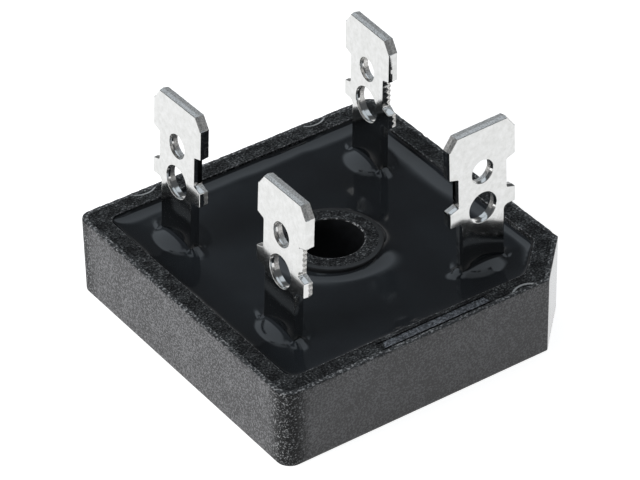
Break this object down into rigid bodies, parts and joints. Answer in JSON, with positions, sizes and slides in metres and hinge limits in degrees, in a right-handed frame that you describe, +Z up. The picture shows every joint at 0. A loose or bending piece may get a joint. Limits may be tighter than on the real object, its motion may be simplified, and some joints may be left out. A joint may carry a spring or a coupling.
{
  "type": "bridge rectifier",
  "caption": "Square epoxy-filled bridge rectifier with push-on tabs, a bevelled positive corner, a metal heat spreader underneath and a central screw hole.",
  "frame": {"origin": "on the screw hole's axis, in the face that lies on the heat sink", "axes": "+Z up out of the screw hole, the way the tabs point; the bevelled corner of the positive terminal is at +X, -Y"},
  "size_m": [0.0286, 0.0286, 0.0187],
  "materials": {
    "moulded_case": "moulded thermoset, black, matt, with a rough broken rim",
    "heat_spreader": "rolled and blanked, dull",
    "epoxy_filling": "cast black epoxy, glossy, creeping up at the walls and terminals",
    "tinned_terminal": "copper alloy strip, bright tin plated, sheared edges",
    "copper_conductor": "bare rolled copper, hidden in the filling",
    "silicon": "glass-passivated silicon, hidden in the filling",
    "solder": "soft solder, hidden in the filling"
  },
  "bodies": {
    "root": {"case": "moulded_case", "base_plate": "heat_spreader", "potting": "epoxy_filling", "positive_terminal": "tinned_terminal", "negative_terminal": "tinned_terminal", "ac_terminal_1": "tinned_terminal", "ac_terminal_2": "tinned_terminal", "positive_conductor": "copper_conductor", "negative_conductor": "copper_conductor", "ac_conductor_1": "copper_conductor", "ac_conductor_2": "copper_conductor", "diode_chip_1": "silicon", "diode_chip_2": "silicon", "diode_chip_3": "silicon", "diode_chip_4": "silicon", "chip_solder_lower_1": "solder", "chip_solder_lower_2": "solder", "chip_solder_lower_3": "solder", "chip_solder_lower_4": "solder", "chip_solder_upper_1": "solder", "chip_solder_upper_2": "solder", "chip_solder_upper_3": "solder", "chip_solder_upper_4": "solder", "foot_solder_positive": "solder", "foot_solder_negative": "solder", "foot_solder_ac_1": "solder", "foot_solder_ac_2": "solder"}
  },
  "joints": []
}
